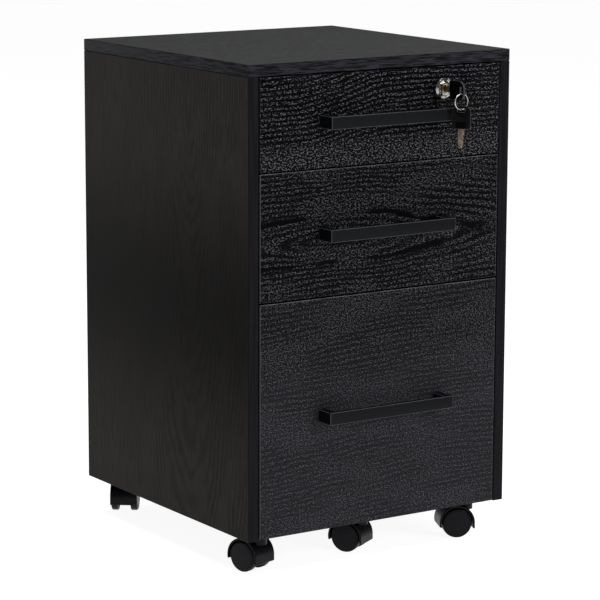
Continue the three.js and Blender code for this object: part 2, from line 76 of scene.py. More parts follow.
class Surface:
    """A Principled material fed by small node expressions. Its coordinates are millimetres at rest."""

    def __init__(self, name, **plain_inputs):
        self.material = bpy.data.materials.new(name)
        self.material.use_nodes = True
        self.tree = self.material.node_tree
        self.shader = next(n for n in self.tree.nodes if n.type == "BSDF_PRINCIPLED")
        for socket, value in plain_inputs.items():
            self.feed(self.shader.inputs[socket.replace("_", " ")], value)
        metres = self.node("ShaderNodeTexCoord").outputs["Object"]
        scale = self.node("ShaderNodeVectorMath", operation="SCALE")
        self.feed(scale.inputs[0], metres)
        scale.inputs["Scale"].default_value = 1 / MM
        self.place = scale.outputs[0]
        split = self.node("ShaderNodeSeparateXYZ")
        self.feed(split.inputs[0], self.place)
        self.axis = dict(zip("XYZ", split.outputs))

    def node(self, kind, **settings):
        made = self.tree.nodes.new(kind)
        for name, value in settings.items():
            setattr(made, name, value)
        return made

    def feed(self, socket, value):
        if isinstance(value, bpy.types.NodeSocket):
            self.tree.links.new(value, socket)
        else:
            socket.default_value = value

    def maths(self, operation, first, second=0.0):
        made = self.node("ShaderNodeMath", operation=operation)
        self.feed(made.inputs[0], first)
        self.feed(made.inputs[1], second)
        return made.outputs[0]

    def point(self, x, y=0.0, z=0.0):
        made = self.node("ShaderNodeCombineXYZ")
        for socket, value in zip(made.inputs, (x, y, z)):
            self.feed(socket, value)
        return made.outputs[0]

    def noise(self, size, detail=2.0, roughness=0.5, at=None):
        """Noise with features of the given size in millimetres, one number or one for each axis."""
        vector = self.place if at is None else at
        sizes = size if isinstance(size, tuple) else (size, size, size)
        divide = self.node("ShaderNodeVectorMath", operation="DIVIDE")
        self.feed(divide.inputs[0], vector)
        divide.inputs[1].default_value = sizes
        made = self.node("ShaderNodeTexNoise")
        self.feed(made.inputs["Vector"], divide.outputs[0])
        made.inputs["Scale"].default_value = 1.0
        made.inputs["Detail"].default_value = detail
        made.inputs["Roughness"].default_value = roughness
        return made.outputs["Fac"]

    def remap(self, value, low, high, to_low=0.0, to_high=1.0):
        """A smooth step from to_low at low to to_high at high."""
        made = self.node("ShaderNodeMapRange", interpolation_type="SMOOTHSTEP")
        for socket, number in zip(made.inputs[:5], (value, low, high, to_low, to_high)):
            self.feed(socket, number)
        return made.outputs[0]

    def blend(self, share, first, second):
        made = self.node("ShaderNodeMix", data_type="RGBA")
        self.feed(made.inputs[0], share)
        self.feed(made.inputs[6], first)
        self.feed(made.inputs[7], second)
        return made.outputs[2]

    def bump(self, height, distance_mm, strength=1.0):
        made = self.node("ShaderNodeBump")
        made.inputs["Strength"].default_value = strength
        made.inputs["Distance"].default_value = distance_mm * MM
        self.feed(made.inputs["Height"], height)
        self.feed(self.shader.inputs["Normal"], made.outputs[0])

    def colour(self, value):
        self.feed(self.shader.inputs["Base Color"], value)

    def roughness(self, value):
        self.feed(self.shader.inputs["Roughness"], value)


def rgb(red, green, blue):
    return (red, green, blue, 1.0)


def shade(colour, factor):
    return rgb(*(factor * c for c in colour[:3]))


def woodgrain(
    name, along, across, ground, light, centre, stretch, wave=14, rise=(0, 1, 0), rows=(0.5, 0.9),
    row_zone=None, bands=0.0, fleck=(2.8, 1.8), cover=(0.49, 0.61), sheen=0.02, painted_dark_stretch=None, deep=None,
):
    """Black laminate embossed like oak: short pores, standing in rows that follow the growth rings.

    along and across name the board's axes. ground is the colour between the pores, and light theirs.
    The rings run round a centre, given along and across the board in millimetres, and stretch draws
    them out along it. wave is how far they wander. rise is where they start and stop climbing, and how
    far. rows is how clearly the pores stand in rows, at least and at most, and row_zone where across
    the board they begin to. bands is how smooth a few of the innermost rings are in places. fleck is a
    pore's length and width, and cover the noise values where one begins and is full.
    painted_dark_stretch is painted shade: a stretch of the board darkened so that its ends look lit by
    reflections; its middle, half length and depth. deep is where across the board the ground
    begins to darken, where it is darkest, and how much.
    """
    s = Surface(name, Specular_IOR_Level=sheen)
    run, side = s.axis[along], s.axis[across]
    flat = s.point(run, side)
    start, stop, height = rise
    climb = s.remap(run, start, stop, 0, height)
    lengthwise = s.maths("DIVIDE", s.maths("SUBTRACT", run, centre[0]), stretch)
    crosswise = s.maths("SUBTRACT", s.maths("SUBTRACT", side, centre[1]), climb)
    squares = s.maths(
        "ADD", s.maths("MULTIPLY", lengthwise, lengthwise), s.maths("MULTIPLY", crosswise, crosswise)
    )
    slow = s.maths("SUBTRACT", s.noise((150, 55, 1), detail=2, at=flat), 0.5)
    quick = s.maths("SUBTRACT", s.noise((13, 6, 1), detail=1, at=flat), 0.5)
    shift = s.maths("ADD", s.maths("MULTIPLY", slow, 2 * wave), s.maths("MULTIPLY", quick, 3.0))
    ring = s.maths("ADD", s.maths("SQRT", squares), shift)
    wobble = s.maths("MULTIPLY", s.noise((70, 70, 1), detail=1, at=flat), 3.0)
    phase = s.maths("ADD", s.maths("DIVIDE", ring, ROW_PITCH / (2 * math.pi)), wobble)
    row = s.remap(s.maths("SINE", phase), -0.55, 0.35)
    patchy = s.remap(s.noise((110, 40, 1), detail=1, at=flat), 0.36, 0.56, *rows)
    if row_zone is not None:
        patchy = s.maths("MULTIPLY", patchy, s.remap(side, *row_zone))
    row = s.maths("ADD", s.maths("MULTIPLY", s.maths("SUBTRACT", row, 1.0), patchy), 1.0)
    pores = s.remap(s.noise((*fleck, 1), detail=1.5, roughness=0.6, at=flat), *cover)
    smooth = s.remap(s.noise((13, 1, 1), detail=1, at=s.point(ring)), 0.40, 0.47, 1, 0)
    places = s.remap(s.noise((75, 26, 1), detail=1, at=flat), 0.44, 0.52, 0, bands)
    places = s.maths("MULTIPLY", places, s.remap(ring, 34, 46, 1, 0))
    open_band = s.maths("SUBTRACT", 1.0, s.maths("MULTIPLY", smooth, places))
    flecks = s.maths("MULTIPLY", s.maths("MULTIPLY", pores, row), open_band)
    broad = s.noise((90, 30, 1), detail=3, at=flat)
    base = s.blend(broad, shade(ground, 0.7), shade(ground, 1.35))
    if deep is not None:
        begins, darkest, depth = deep
        base = s.blend(s.remap(side, begins, darkest, 0, depth), base, rgb(0, 0, 0))
    colour = s.blend(flecks, base, light)
    # Painted shade: a stretch of the board is darkened, leaving its ends looking lit by reflections.
    if painted_dark_stretch is not None:
        middle, half, depth = painted_dark_stretch
        distance = s.maths("ABSOLUTE", s.maths("SUBTRACT", run, middle))
        colour = s.blend(s.remap(distance, 0, half, depth, 0), colour, rgb(0, 0, 0))
    s.colour(colour)
    s.roughness(s.remap(flecks, 0, 1, 0.50, 0.62))
    s.bump(flecks, 0.12, 0.6)
    return s.material


def edge_band(name, upright, tone, contrast=0.5, chips=0.0, painted_shade_below=False):
    """A board's edging strip: smoother than the face, with faint streaks along it and a few worn spots.

    painted_shade_below paints whatever faces down almost black: painted shade.
    """
    s = Surface(name, Specular_IOR_Level=0.07)
    streak = (2.2, 2.2, 90) if upright else (26, 26, 1.1)
    lines = s.noise(streak, detail=3, roughness=0.6)
    fine = s.noise(0.9, detail=1)
    ground = s.blend(s.remap(lines, 0.44, 0.56), shade(tone, 1 - contrast), shade(tone, 1 + contrast))
    # Painted shade: faces that turn down are darkened almost to black.
    if painted_shade_below:
        up = s.node("ShaderNodeSeparateXYZ")
        s.feed(up.inputs[0], s.node("ShaderNodeNewGeometry").outputs["Normal"])
        ground = s.blend(s.remap(up.outputs["Z"], -0.3, 0.1), shade(tone, 0.03), ground)
    worn = s.maths("MULTIPLY", s.remap(s.noise(5.0, detail=2), 0.70, 0.74), chips)
    s.colour(s.blend(worn, ground, rgb(0.12, 0.10, 0.085)))
    s.roughness(s.remap(lines, 0.3, 0.7, 0.42, 0.55))
    s.bump(s.maths("ADD", lines, s.maths("MULTIPLY", fine, 0.4)), 0.05, 0.5)
    return s.material


def plain_board(name, tone, grain=1.6):
    """Board with a fine pearl texture, for drawer boxes and the back."""
    s = Surface(name, Specular_IOR_Level=0.15)
    fine = s.noise(grain, detail=3, roughness=0.65)
    cloud = s.noise(60, detail=3)
    mottled = s.maths("ADD", s.maths("MULTIPLY", fine, 0.7), s.maths("MULTIPLY", cloud, 0.3))
    s.colour(s.blend(s.remap(mottled, 0.35, 0.65), tone, shade(tone, 1.5)))
    s.roughness(s.remap(cloud, 0.3, 0.7, 0.5, 0.65))
    s.bump(fine, 0.06, 0.5)
    return s.material


def painted_metal(name, tone, gloss=0.2):
    """Black satin powder coat with a fine orange peel."""
    s = Surface(name, Specular_IOR_Level=gloss)
    peel = s.noise(1.1, detail=2)
    cloud = s.noise((70, 70, 12), detail=2)
    s.colour(s.blend(s.remap(cloud, 0.35, 0.65), tone, shade(tone, 1.4)))
    s.roughness(s.remap(cloud, 0.3, 0.7, 0.34, 0.44))
    s.bump(peel, 0.03, 0.35)
    return s.material


def moulded_nylon(name, tone, gloss, dust=0.0, sheen=0.16):
    """Moulded black plastic with a fine spark-eroded texture, and patches of dust."""
    s = Surface(name, Specular_IOR_Level=sheen)
    texture = s.noise(0.7, detail=2)
    cloud = s.noise(9, detail=2)
    scuff = s.remap(s.noise((3, 3, 1.2), detail=4, roughness=0.7), 0.52, 0.7, 0, dust)
    s.colour(s.blend(scuff, tone, rgb(0.09, 0.085, 0.08)))
    s.roughness(s.remap(cloud, 0.3, 0.7, gloss - 0.05, gloss + 0.08))
    s.bump(texture, 0.025, 0.4)
    return s.material


def bright_metal(name, tone, rough, brushed=(9, 0.25, 9), tarnish_and_dark_reflection=0.15, dark=0.62, spot=7, relief=0.01):
    """Plated or polished metal: fine lines of the given relief, and darker spots of the given size.

    tarnish_and_dark_reflection is how much of the spots shows: tarnish, and on the lock's chrome painted dark
    reflection. dark is how much of the tone is left under them.
    """
    s = Surface(name, Metallic=1.0)
    lines = s.noise(brushed, detail=2)
    cloud = s.noise(spot, detail=3)
    # The darker spots: tarnish, and on the lock's chrome a painted dark reflection.
    s.colour(s.blend(s.remap(cloud, 0.4, 0.7, 0, tarnish_and_dark_reflection), tone, shade(tone, dark)))
    uneven = s.remap(cloud, 0.3, 0.7, rough, rough + 0.1)
    s.roughness(s.maths("ADD", uneven, s.remap(lines, 0.3, 0.7, 0, 0.06)))
    s.bump(lines, relief, 0.3)
    return s.material


FRONT_GROUND = rgb(0.0010, 0.0010, 0.0014)
FRONT_LAMINATE = {
    "top": woodgrain(
        "top_front_oak", "X", "Z", FRONT_GROUND, rgb(0.098, 0.098, 0.106), centre=(-30, 100), stretch=10,
        wave=7, rise=(-130, 20, 28), rows=(0.85, 1.0), row_zone=(532, 556), cover=(0.51, 0.62),
    ),
    "middle": woodgrain(
        "middle_front_oak", "X", "Z", FRONT_GROUND, rgb(0.070, 0.070, 0.077), centre=(-80, 424), stretch=7,
        wave=9, rows=(0.3, 0.9), bands=0.97,
    ),
    "file": woodgrain(
        "file_front_oak", "X", "Z", rgb(0.0125, 0.0125, 0.0148), rgb(0.067, 0.067, 0.076), centre=(60, -60),
        stretch=5.0, wave=10, rise=(-160, 170, 12), rows=(0.15, 0.75), fleck=(2.3, 1.5),
        deep=(200, 310, 0.65),
    ),
}
TOP_LAMINATE = woodgrain(
    "top_face_oak", "X", "Y", rgb(0.024, 0.0249, 0.0246), rgb(0.056, 0.057, 0.057),
    centre=(40, 420), stretch=6, wave=8, rows=(0.4, 0.7), fleck=(12, 1.3), sheen=0.08,
)
# Painted shade: the side's middle is darkened, so its top and bottom look lit by reflections.
SIDE_LAMINATE = woodgrain(
    "side_face_oak", "Z", "Y", rgb(0.0142, 0.0133, 0.0124), rgb(0.0312, 0.0290, 0.0274), centre=(640, -45),
    stretch=6, wave=12, rows=(0.0, 0.62), fleck=(30, 1.3), cover=(0.25, 0.60), painted_dark_stretch=(330, 240, 0.64),
)
PLAIN_LAMINATE = plain_board("inner_board_black", rgb(0.006, 0.006, 0.0065))
TOP_EDGE = edge_band("top_edge_band", False, rgb(0.0112, 0.0112, 0.0150), contrast=0.97)
SIDE_EDGE = edge_band("side_edge_band", True, rgb(0.0038, 0.0038, 0.0056), chips=0.1)
FRONT_SIDES = edge_band("front_edge_band", False, rgb(0.0015, 0.0015, 0.0018), contrast=0.3)
# Painted highlight: the rounded strip round each drawer front is far lighter than the board, with painted shade on
# its downward faces.
FRONT_EDGE_HIGHLIGHT = edge_band(
    "front_edge_painted_highlight", False, rgb(0.095, 0.095, 0.102), contrast=0.3, painted_shade_below=True
)
BOX_BOARD = plain_board("drawer_box_grey_black", rgb(0.010, 0.010, 0.0115))
BACK_BOARD = plain_board("back_board_black", rgb(0.010, 0.010, 0.011), grain=0.8)
HANDLE_METAL = painted_metal("handle_satin_black", rgb(0.0014, 0.0017, 0.0028), gloss=0.10)
# Painted highlight: the handles' rounded edges are much lighter than the bar.
HANDLE_EDGE_HIGHLIGHT = painted_metal("handle_edge_painted_highlight", rgb(0.034, 0.037, 0.044))
SLIDE_STEEL = bright_metal("slide_zinc", rgb(0.60, 0.61, 0.62), 0.28, brushed=(0.4, 40, 0.4), tarnish_and_dark_reflection=0.5)
SCREW_STEEL = bright_metal("screw_zinc", rgb(0.55, 0.54, 0.50), 0.25, tarnish_and_dark_reflection=0.5)
# Painted reflection: the chrome is darkened almost to black in spots, standing for a dark room seen in it.
CHROME = bright_metal(
    "lock_chrome", rgb(0.38, 0.37, 0.34), 0.06, brushed=(2.4, 2.4, 2.4), tarnish_and_dark_reflection=1.0, dark=0.06, spot=4.5,
    relief=0.5,
)
BRASS = bright_metal("plug_brass", rgb(0.36, 0.26, 0.12), 0.25, brushed=(0.5, 0.5, 0.5), tarnish_and_dark_reflection=0.6)
KEY_STEEL = bright_metal(
    "key_blade_nickel_silver", rgb(0.20, 0.165, 0.13), 0.32, brushed=(0.3, 6, 6), tarnish_and_dark_reflection=1.0, dark=0.4,
    spot=3.5,
)
RING_STEEL = bright_metal("key_ring_steel", rgb(0.78, 0.74, 0.69), 0.12, brushed=(2, 2, 2), tarnish_and_dark_reflection=0.3)
KEY_PLASTIC = moulded_nylon("key_bow_plastic", rgb(0.0016, 0.0016, 0.0019), 0.26, sheen=0.06)
# Painted highlight: the key bows' sides and rounded rims are much lighter than their faces.
KEY_RIM_HIGHLIGHT = moulded_nylon("key_rim_painted_highlight", rgb(0.022, 0.022, 0.028), 0.30, sheen=0.3)
COLLAR_PLASTIC = moulded_nylon("key_collar_plastic", rgb(0.0008, 0.0008, 0.0010), 0.5, sheen=0.02)
WHEEL_NYLON = moulded_nylon("wheel_nylon", rgb(0.0026, 0.0027, 0.0044), 0.36, dust=0.12, sheen=0.11)
HOOD_NYLON = moulded_nylon("hood_nylon", rgb(0.0024, 0.0025, 0.0038), 0.30, dust=0.05, sheen=0.11)


# ---------------------------------------------------------------- mesh helpers


def piece(name, mesh, body, materials, replaces=(), place=None):
    """A mesh made into a named piece that rides on a body.

    replaces names the CAD nodes that it stands for, and place is a matrix put on the mesh first.
    """
    made = bpy.data.objects.new(name, mesh)
    bpy.context.scene.collection.objects.link(made)
    if place is not None:
        mesh.transform(place)
    for material in materials if isinstance(materials, list) else [materials]:
        mesh.materials.append(material)
    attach(made, body)
    if replaces:
        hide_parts(*replaces)
    return made


def mesh_from(bm, name, sharp_degrees=32):
    """A bmesh made into a smooth mesh whose edges past the given angle stay sharp. The bmesh is freed."""
    bmesh.ops.recalc_face_normals(bm, faces=bm.faces)
    mesh = bpy.data.meshes.new(name)
    bm.to_mesh(mesh)
    bm.free()
    mesh.shade_smooth()
    mesh.set_sharp_from_angle(angle=math.radians(sharp_degrees))
    return mesh


def round_edges(made, radius, segments=3, degrees=32, strip_material=-1):
    """Rounds every edge sharper than the given angle; the rounded strip may take a material of its own."""
    if "sharp_edge" in made.data.attributes:
        made.data.attributes.remove(made.data.attributes["sharp_edge"])
    bevel = made.modifiers.new("rounded edges", "BEVEL")
    bevel.width = radius
    bevel.segments = segments
    bevel.limit_method = "ANGLE"
    bevel.angle_limit = math.radians(degrees)
    bevel.harden_normals = True
    bevel.material = strip_material
    return made


def cad_copy(node):
    """The CAD node's mesh as welded flat faces, for a piece that keeps its holes and grooves."""
    bm = bmesh.new()
    bm.from_mesh(frame["nodes"][node].data)
    bmesh.ops.remove_doubles(bm, verts=bm.verts, dist=1e-6)
    bmesh.ops.dissolve_limit(bm, angle_limit=math.radians(0.5), verts=bm.verts, edges=bm.edges)
    return bm


def softened(node, materials, radius, segments=3, face_axis=None):
    """A CAD node again, with rounded edges.

    Of several materials, the second goes on each face that isn't across face_axis, and the last on the
    rounded strips.
    """
    bm = cad_copy(node)
    if face_axis is not None:
        for face in bm.faces:
            face.material_index = 0 if abs(face.normal[face_axis]) > 0.5 else 1
    made = piece(f"{node}_look", mesh_from(bm, node), NODE_BODY[node], materials, [node])
    last = len(materials) - 1 if isinstance(materials, list) else -1
    return round_edges(made, radius, segments, strip_material=last)


def lathe(profile, sides=64):
    """A solid turned round the Y axis from [radius, y] points, in millimetres."""
    bm = bmesh.new()
    rings = []
    for radius, y in profile:
        if radius == 0:
            rings.append([bm.verts.new(Vector((0, y, 0)) * MM)])
            continue
        ring = []
        for i in range(sides):
            angle = 2 * math.pi * i / sides
            ring.append(bm.verts.new(Vector((radius * math.cos(angle), y, radius * math.sin(angle))) * MM))
        rings.append(ring)
    closed = profile[0] != profile[-1] and (profile[0][0] > 0 and profile[-1][0] > 0)
    pairs = list(zip(rings, rings[1:])) + ([(rings[-1], rings[0])] if closed else [])
    for one, other in pairs:
        for i in range(sides):
            j = (i + 1) % sides
            corners = [one[i % len(one)], one[j % len(one)], other[j % len(other)], other[i % len(other)]]
            distinct = list(dict.fromkeys(corners))
            if len(distinct) > 2:
                bm.faces.new(distinct)
    bmesh.ops.remove_doubles(bm, verts=bm.verts, dist=1e-7)
    return bm


def plate(loops, thickness, edge):
    """A flat plate with rounded edges, centred on Z. loops holds its outline, then its holes, in mm."""
    curve = bpy.data.curves.new("plate", "CURVE")
    curve.dimensions = "2D"
    curve.fill_mode = "BOTH"
    for loop in loops:
        spline = curve.splines.new("POLY")
        spline.points.add(len(loop) - 1)
        for target, (x, y) in zip(spline.points, loop):
            target.co = (x * MM, y * MM, 0, 1)
        spline.use_cyclic_u = True
    curve.extrude = (thickness / 2 - edge) * MM
    curve.bevel_depth = edge * MM
    curve.bevel_resolution = 2
    curve.offset = -edge * MM
    return mesh_of_curve(curve)


def wire(points, radius, resolution=6, cyclic=False):
    """A round wire along points in millimetres."""
    curve = bpy.data.curves.new("wire", "CURVE")
    curve.dimensions = "3D"
    spline = curve.splines.new("POLY")
    spline.points.add(len(points) - 1)
    for target, co in zip(spline.points, points):
        target.co = (*(Vector(co) * MM), 1)
    spline.use_cyclic_u = cyclic
    curve.bevel_depth = radius * MM
    curve.bevel_resolution = resolution
    curve.use_fill_caps = True
    return mesh_of_curve(curve)


def mesh_of_curve(curve):
    """A curve's surface as a welded bmesh."""
    holder = bpy.data.objects.new("curve", curve)
    bpy.context.scene.collection.objects.link(holder)
    bpy.context.view_layer.update()
    evaluated = holder.evaluated_get(bpy.context.evaluated_depsgraph_get())
    bm = bmesh.new()
    bm.from_mesh(evaluated.to_mesh())
    bpy.data.objects.remove(holder)
    bmesh.ops.remove_doubles(bm, verts=bm.verts, dist=1e-6)
    return bm


def arc(cx, cy, radius, start, stop, steps):
    """Points on an arc, in degrees, both ends included."""
    angles = (math.radians(start + (stop - start) * i / steps) for i in range(steps + 1))
    return [(cx + radius * math.cos(a), cy + radius * math.sin(a)) for a in angles]


def rounded_box(cx, cy, half_x, half_y, radius):
    """The outline of a rectangle with round corners, in millimetres."""
    corners = ((1, 1, 0), (-1, 1, 90), (-1, -1, 180), (1, -1, 270))
    return [
        point
        for right, up, start in corners
        for point in arc(
            cx + right * (half_x - radius), cy + up * (half_y - radius), radius, start, start + 90, 4
        )
    ]


def bar_along_y(outline, half_width):
    """An outline of (x, z) points in millimetres, made into a bar across Y."""
    bm = bmesh.new()
    ends = [[bm.verts.new(Vector((x, y, z)) * MM) for x, z in outline] for y in (-half_width, half_width)]
    for end in ends:
        bm.faces.new(end)
    for i in range(len(outline)):
        j = (i + 1) % len(outline)
        bm.faces.new([ends[0][i], ends[0][j], ends[1][j], ends[1][i]])
    return bm


def merged(*parts):
    """Several bmeshes in one, each freed."""
    whole = bmesh.new()
    for part in parts:
        scratch = bpy.data.meshes.new("scratch")
        part.to_mesh(scratch)
        part.free()
        whole.from_mesh(scratch)
        bpy.data.meshes.remove(scratch)
    return whole


def moved(bm, matrix):
    bmesh.ops.transform(bm, matrix=matrix, verts=bm.verts)
    return bm


# ---------------------------------------------------------------- boards


BOARD_EDGE = 0.7 * MM


def carcass():
    softened("top_panel", [TOP_LAMINATE, TOP_EDGE], BOARD_EDGE, face_axis=2)
    softened("bottom_panel", [PLAIN_LAMINATE, SIDE_EDGE], BOARD_EDGE, face_axis=2)
    softened("back_panel", BACK_BOARD, 0.3 * MM)
    for side in SIDES:
        softened(f"{side}_side_panel", [SIDE_LAMINATE, SIDE_EDGE], BOARD_EDGE, face_axis=0)


def drawer_boards(drawer):
    # The last material, on the fronts' rounded strips, is a painted highlight.
    front_materials = [FRONT_LAMINATE[drawer], FRONT_SIDES, FRONT_EDGE_HIGHLIGHT]
    softened(f"{drawer}_drawer_front", front_materials, 0.8 * MM, face_axis=1)
    # The handles' rounded strips take a painted highlight.
    handle_materials = [HANDLE_METAL, HANDLE_EDGE_HIGHLIGHT]
    softened(f"{drawer}_drawer_handle", handle_materials, 0.7 * MM, segments=4)
    for part in ("back", "bottom", "left_side", "right_side"):
        softened(f"{drawer}_drawer_{part}", BOX_BOARD, 0.5 * MM)


# ---------------------------------------------------------------- fasteners


def screw_head(radius=3.4, height=1.7):
    """A domed head with a cross recess, facing -Y, its seat at y = 0."""
    dome = [(radius * math.sin(a), -height * math.cos(a)) for a in (0.35, 0.7, 1.05, 1.35)]
    head = lathe([(0, -height), *dome, (radius, 0), (0, 0)], sides=20)
    slot = 0.22 * radius
    reach = 0.62 * radius
    cross = [
        (slot, slot), (reach, slot), (reach, -slot), (slot, -slot), (slot, -reach), (-slot, -reach),
        (-slot, -slot), (-reach, -slot), (-reach, slot), (-slot, slot), (-slot, reach), (slot, reach),
    ]
    recess = moved(bar_along_y(cross, height), Matrix.Translation((0, -height * MM, 0)))
    return carved(head, recess)


def carved(body, tool):
    """One bmesh cut by another. Both are freed."""
    holders = []
    for name, bm in (("body", body), ("tool", tool)):
        bmesh.ops.recalc_face_normals(bm, faces=bm.faces)
        mesh = bpy.data.meshes.new(name)
        bm.to_mesh(mesh)
        bm.free()
        holder = bpy.data.objects.new(name, mesh)
        bpy.context.scene.collection.objects.link(holder)
        holders.append(holder)
    modifier = holders[0].modifiers.new("cut", "BOOLEAN")
    modifier.operation = "DIFFERENCE"
    modifier.object = holders[1]
    bpy.context.view_layer.update()
    evaluated = holders[0].evaluated_get(bpy.context.evaluated_depsgraph_get())
    result = bmesh.new()
    result.from_mesh(evaluated.to_mesh())
    for holder in holders:
        bpy.data.objects.remove(holder)
    return result


SCREW = mesh_from(screw_head(), "screw")


def facing(point, direction):
    """A matrix that stands a shape facing -Y on a point so that it faces the given way."""
    turn = Vector((0, -1, 0)).rotation_difference(Vector(direction)).to_matrix().to_4x4()
    return Matrix.Translation(point) @ turn


def screws(name, body, places, scale=1.0):
    """Screw heads at (point, direction) places, joined into one piece."""
    whole = bmesh.new()
    for index, (point, direction) in enumerate(places):
        spin = Matrix.Rotation(0.7 * index, 4, "Y")
        copy = SCREW.copy()
        copy.transform(facing(point, direction) @ spin @ Matrix.Scale(scale, 4))
        whole.from_mesh(copy)
        bpy.data.meshes.remove(copy)
    return piece(name, mesh_from(whole, name), body, SCREW_STEEL)


SLIDE_SHEET = 1.5 * MM


def slides(drawer):
    """Both members of each slide, with their screws and the balls between them."""
    for side, sign in zip(SIDES, (-1, 1)):
        outer = f"{drawer}_cabinet_slide_{side}"
        inner = f"{drawer}_drawer_slide_{side}"
        for node in (outer, inner):
            softened(node, SLIDE_STEEL, 0.35 * MM, segments=2)
        low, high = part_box(outer)
        z = (low.z + high.z) / 2
        web_x = (low.x if sign < 0 else high.x) - sign * SLIDE_SHEET
        spots = [low.y + share * (high.y - low.y) for share in (0.08, 0.45, 0.9)]
        screws(
            f"{drawer}_cabinet_slide_screws_{side}", "cabinet",
            [((web_x, y, z), (-sign, 0, 0)) for y in spots], scale=0.75,
        )
        balls(f"{drawer}_slide_balls_{side}", outer, inner)


def balls(name, outer, inner):
    """The ball cage's balls at the mouth of a slide, between its two channels."""
    low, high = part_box(outer)
    inner_low, inner_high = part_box(inner)
    radius, first, pitch = 1.7 * MM, 14 * MM, 8 * MM
    x = (inner_low.x + inner_high.x) / 2
    whole = bmesh.new()
    for row, step in product((-1, 1), range(9)):
        edge = inner_high.z if row > 0 else inner_low.z
        wall = high.z - SLIDE_SHEET if row > 0 else low.z + SLIDE_SHEET
        spot = Vector((x, low.y + first + step * pitch, (edge + wall) / 2))
        bmesh.ops.create_icosphere(whole, subdivisions=2, radius=radius, matrix=Matrix.Translation(spot))
    return piece(name, mesh_from(whole, name, 80), "cabinet", SCREW_STEEL)


def drawer_hardware(drawer):
    """Handle screws behind the front, and the cam discs that hold the box sides to it."""
    body = f"{drawer}_drawer"
    low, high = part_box(f"{drawer}_drawer_handle")
    leg_centre = 6 * MM
    z = (low.z + high.z) / 2
    places = [((x, FRONT_INNER_Y, z), (0, 1, 0)) for x in (low.x + leg_centre, high.x - leg_centre)]
    screws(f"{drawer}_handle_screws", body, places, scale=1.25)
    cams = bmesh.new()
    disc = lathe([
        (0, -0.6), (1.6, -0.6), (1.6, -0.1), (5.6, -0.1), (6.2, -0.6), (7.2, -0.6), (7.5, -0.3), (7.5, 0),
        (0, 0),
    ], 40)
    template = mesh_from(disc, "cam_disc")
    depth = FRONT_INNER_Y + 24 * MM
    for side, sign in zip(SIDES, (-1, 1)):
        box_low, box_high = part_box(f"{drawer}_drawer_{side}_side")
        x = box_high.x if sign < 0 else box_low.x
        for share in (0.3, 0.78):
            spot = (x, depth, box_low.z + share * (box_high.z - box_low.z))
            copy = template.copy()
            copy.transform(facing(spot, (-sign, 0, 0)))
            cams.from_mesh(copy)
    piece(f"{drawer}_cam_discs", mesh_from(cams, "cams"), body, SCREW_STEEL)


# ---------------------------------------------------------------- lock and keys


def lock():
    axis = Vector(JOINTS["lock_turn"]["pos_m"])
    place = Matrix.Translation(axis)
    bore = 5.8
    housing = lathe([
        (bore, -5.0), (8.4, -5.0), (9.1, -4.6), (9.4, -3.6), (10.6, -2.8), (12.4, -2.3),
        (13.1, -1.9), (13.3, -1.2), (13.3, -0.3), (8.5, -0.3), (8.5, 21.0), (bore, 21.0),
    ])
    made = piece(
        "lock_housing_look", mesh_from(housing, "lock_housing", 40), "top_drawer",
        CHROME, ["lock_housing"], place,
    )
    round_edges(made, 0.18 * MM, 2, degrees=40)
    softened("lock_plug", BRASS, 0.2 * MM, segments=2)
    softened("lock_nut", SCREW_STEEL, 0.3 * MM, segments=2)
    softened("lock_cam", SLIDE_STEEL, 0.3 * MM, segments=2)
    cam_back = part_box("lock_cam")[1].y
    spot = (axis.x, cam_back + 0.5 * MM, axis.z)
    screws("lock_cam_screw", "lock_core", [(spot, (0, 1, 0))], 1.2)


def key_outlines():
    """The bow with its slot, and the blade with its cuts, flat in XY with the bow's outer end at y = 0."""
    bow_length, bow_half, high_corner, low_corner = 30, 12, 9, 3
    bow = arc(high_corner - bow_half, high_corner, high_corner, 180, 270, 10)
    bow += arc(bow_half - high_corner, high_corner, high_corner, 270, 360, 10)
    bow += arc(bow_half - low_corner, bow_length - low_corner, low_corner, 0, 90, 5)
    bow += arc(low_corner - bow_half, bow_length - low_corner, low_corner, 90, 180, 5)
    slot = arc(2.75, 6, 2.25, -90, 90, 10) + arc(-2.75, 6, 2.25, 90, 270, 10)
    blade = [(-3.9, 28), (3.9, 28), (3.9, 36)]
    for along, depth in ((8, 1.6), (10.5, 0.6), (13, 1.9), (15.5, 0.7), (18, 1.4)):
        blade.append((3.9 - depth, bow_length + along))
    blade += arc(0, 51.8, 2.2, 0, 180, 8)
    blade += [(-3.9, 48.8)]
    return bow, slot, blade


def key(node, place):
    """A key in three pieces: the plastic bow, the collar panel on it, and the blade with its groove."""
    bow, slot, blade = key_outlines()
    body = NODE_BODY[node]
    shell = plate([bow, slot], 3.0, 0.9)
    shell.normal_update()
    # The bow's flat faces take the plain plastic; its sides and rounded rim the painted highlight.
    for face in shell.faces:
        face.material_index = 0 if abs(face.normal.z) > 0.9 else 1
    bow_materials = [KEY_PLASTIC, KEY_RIM_HIGHLIGHT]
    piece(f"{node}_bow", mesh_from(shell, node, 50), body, bow_materials, [node], place)
    collar = mesh_from(plate([rounded_box(0, 24.6, 6.7, 4.0, 1.0)], 3.7, 0.4), f"{node}_collar", 50)
    piece(f"{node}_collar", collar, body, COLLAR_PLASTIC, (), place)
    spine = [(-3.9, 29), (-0.4, 29), (-0.4, 49), (-2.0, 51.5), (-3.9, 48.8)]
    rib = [(0.6, 29), (3.9, 29), (3.9, 35.8), (1.2, 39), (0.6, 41)]
    steel = merged(plate([blade], 1.1, 0.15), plate([spine], 1.8, 0.2), plate([rib], 1.8, 0.2))
    piece(f"{node}_blade", mesh_from(steel, f"{node}_blade", 50), body, KEY_STEEL, (), place)


